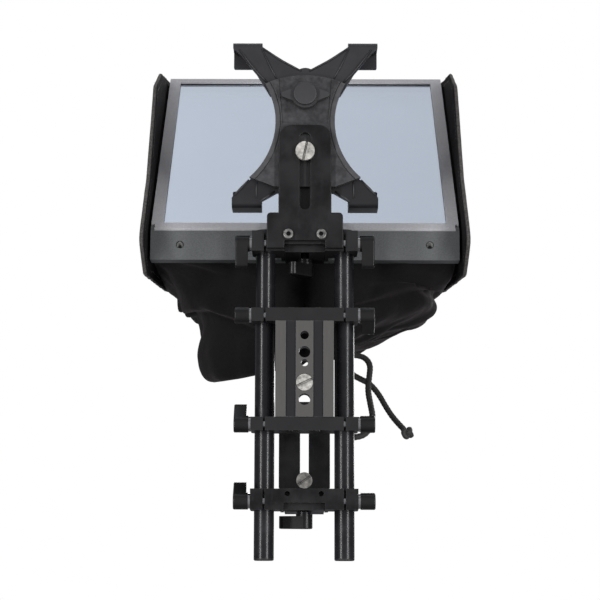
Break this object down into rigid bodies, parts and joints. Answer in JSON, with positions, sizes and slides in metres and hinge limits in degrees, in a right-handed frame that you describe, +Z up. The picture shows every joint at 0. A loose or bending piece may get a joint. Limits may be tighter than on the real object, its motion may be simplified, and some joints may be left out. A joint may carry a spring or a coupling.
{
  "type": "teleprompter",
  "caption": "Rod-mounted teleprompter with a sloping glass frame, fabric hood and lens sleeve, clawed tablet holder and camera plate.",
  "frame": {"origin": "mouth of the tripod thread in the base plate's underside", "axes": "+Z up, -Y towards the talent, along the rods, +X to the right seen from the talent's side"},
  "size_m": [0.2536, 0.437, 0.2685],
  "materials": {
    "bare_aluminium": "satin, extruded",
    "black_anodised": "satin black anodised",
    "black_steel": "blackened",
    "bright_steel": "bright",
    "rod_black": "gloss black anodised",
    "plug_plastic": "matte",
    "lever_plastic": "satin moulded",
    "rail_paint": "fine satin powder coat",
    "frame_paint": "fine satin powder coat",
    "gasket_rubber": "matte",
    "coated_glass": "beam-splitter coating on the front",
    "retainer_plastic": "matte",
    "board_fabric": "short black pile over stiff board",
    "shroud_cloth": "soft black cloth",
    "cord_braid": "round black braid",
    "holder_plastic": "satin moulded"
  },
  "bodies": {
    "base": {"base_plate": "bare_aluminium", "base_bar_front": "black_anodised", "base_bar_rear": "black_anodised", "base_bar_screws": "black_steel", "base_screw": "bright_steel"},
    "rods": {"rod_left": "rod_black", "rod_right": "rod_black", "rod_end_plugs": "plug_plastic"},
    "front_carrier": {"front_bracket": "black_anodised", "tablet_plate": "black_anodised", "tablet_plate_screws": "bright_steel"},
    "rear_carrier": {"rear_bracket": "black_anodised"},
    "rail": {"frame_leg": "black_anodised", "lower_rail": "rail_paint", "hinge_pins": "bright_steel", "rail_screws": "black_steel"},
    "screen": {"glass_frame": "frame_paint", "glass_gasket": "gasket_rubber", "glass": "coated_glass", "glass_retainer": "retainer_plastic", "hood_left_board": "board_fabric", "hood_right_board": "board_fabric", "hood_top_board": "board_fabric", "hood_front_band": "shroud_cloth", "hood_tapes": "board_fabric", "hood_shroud": "shroud_cloth", "drawstring_long": "cord_braid", "drawstring_short": "cord_braid", "drawstring_long_knot": "cord_braid", "drawstring_short_knot": "cord_braid"},
    "camera_mount": {"camera_plate": "black_anodised"},
    "camera_screw": {"camera_screw": "bright_steel"},
    "tablet_screw": {"tablet_screw": "bright_steel"},
    "holder": {"holder_shell": "holder_plastic", "lower_jaw": "holder_plastic", "lower_claw_pads": "gasket_rubber", "wing_knob_stud": "bright_steel"},
    "upper_jaw": {"upper_jaw": "holder_plastic", "upper_claw_pads": "gasket_rubber"},
    "wing_knob": {"wing_knob": "lever_plastic"},
    "clamp_front_left": {"clamp_front_left_lever": "lever_plastic", "clamp_front_left_stud": "bright_steel"},
    "clamp_front_right": {"clamp_front_right_lever": "lever_plastic", "clamp_front_right_stud": "bright_steel"},
    "clamp_second_left": {"clamp_second_left_lever": "lever_plastic", "clamp_second_left_stud": "bright_steel"},
    "clamp_second_right": {"clamp_second_right_lever": "lever_plastic", "clamp_second_right_stud": "bright_steel"},
    "clamp_third_left": {"clamp_third_left_lever": "lever_plastic", "clamp_third_left_stud": "bright_steel"},
    "clamp_third_right": {"clamp_third_right_lever": "lever_plastic", "clamp_third_right_stud": "bright_steel"},
    "clamp_rear_left": {"clamp_rear_left_lever": "lever_plastic", "clamp_rear_left_stud": "bright_steel"},
    "clamp_rear_right": {"clamp_rear_right_lever": "lever_plastic", "clamp_rear_right_stud": "bright_steel"},
    "lock_front": {"lock_front_lever": "lever_plastic", "lock_front_stud": "bright_steel"},
    "lock_rear": {"lock_rear_lever": "lever_plastic", "lock_rear_stud": "bright_steel"}
  },
  "joints": [
    {"name": "rods_slide", "type": "slide", "parent": "base", "child": "rods", "axis": [0, 1, 0], "range_m": [-0.01, 0.008]},
    {"name": "front_bracket_slide", "type": "slide", "parent": "rods", "child": "front_carrier", "axis": [0, 1, 0], "range_m": [-0.003, 0.008]},
    {"name": "rear_bracket_slide", "type": "slide", "parent": "rods", "child": "rear_carrier", "axis": [0, 1, 0], "range_m": [-0.005, 0.022]},
    {"name": "frame_height", "type": "slide", "parent": "front_carrier", "child": "rail", "axis": [0, 0, 1], "range_m": [0, 0.022]},
    {"name": "frame_fold", "type": "hinge", "parent": "rail", "child": "screen", "pos_m": [0, -0.1023, 0.05366], "axis": [1, 0, 0], "range_deg": [0, 45]},
    {"name": "camera_height", "type": "slide", "parent": "rear_carrier", "child": "camera_mount", "axis": [0, 0, 1], "range_m": [-0.025, 0.022]},
    {"name": "camera_screw_slide", "type": "slide", "parent": "camera_mount", "child": "camera_screw", "axis": [0, 1, 0], "range_m": [-0.05, 0]},
    {"name": "holder_slide", "type": "slide", "parent": "front_carrier", "child": "tablet_screw", "axis": [0, -1, 0], "range_m": [-0.0045, 0.01]},
    {"name": "holder_turn", "type": "hinge", "parent": "tablet_screw", "child": "holder", "pos_m": [0, -0.1526, 0], "axis": [0, 0, 1], "range_deg": [-5, 5]},
    {"name": "jaw_slide", "type": "slide", "parent": "holder", "child": "upper_jaw", "axis": [0, -1, 0], "range_m": [0, 0.045]},
    {"name": "wing_knob_turn", "type": "hinge", "parent": "holder", "child": "wing_knob", "pos_m": [0, -0.197, 0], "axis": [0, 0, 1], "continuous": true},
    {"name": "clamp_front_left_turn", "type": "hinge", "parent": "front_carrier", "child": "clamp_front_left", "pos_m": [-0.0401, -0.0836, 0.0075], "axis": [-1, 0, 0], "continuous": true},
    {"name": "clamp_front_right_turn", "type": "hinge", "parent": "front_carrier", "child": "clamp_front_right", "pos_m": [0.0401, -0.0836, 0.0075], "axis": [1, 0, 0], "continuous": true},
    {"name": "clamp_second_left_turn", "type": "hinge", "parent": "base", "child": "clamp_second_left", "pos_m": [-0.0401, -0.0285, 0.0075], "axis": [-1, 0, 0], "continuous": true},
    {"name": "clamp_second_right_turn", "type": "hinge", "parent": "base", "child": "clamp_second_right", "pos_m": [0.0401, -0.0285, 0.0075], "axis": [1, 0, 0], "continuous": true},
    {"name": "clamp_third_left_turn", "type": "hinge", "parent": "base", "child": "clamp_third_left", "pos_m": [-0.0401, 0.0535, 0.0075], "axis": [-1, 0, 0], "continuous": true},
    {"name": "clamp_third_right_turn", "type": "hinge", "parent": "base", "child": "clamp_third_right", "pos_m": [0.0401, 0.0535, 0.0075], "axis": [1, 0, 0], "continuous": true},
    {"name": "clamp_rear_left_turn", "type": "hinge", "parent": "rear_carrier", "child": "clamp_rear_left", "pos_m": [-0.0401, 0.1105, 0.0075], "axis": [-1, 0, 0], "continuous": true},
    {"name": "clamp_rear_right_turn", "type": "hinge", "parent": "rear_carrier", "child": "clamp_rear_right", "pos_m": [0.0401, 0.1105, 0.0075], "axis": [1, 0, 0], "continuous": true},
    {"name": "lock_front_turn", "type": "hinge", "parent": "front_carrier", "child": "lock_front", "pos_m": [0, -0.0769, 0.038], "axis": [0, 1, 0], "continuous": true},
    {"name": "lock_rear_turn", "type": "hinge", "parent": "rear_carrier", "child": "lock_rear", "pos_m": [0, 0.1172, 0.038], "axis": [0, 1, 0], "continuous": true}
  ]
}
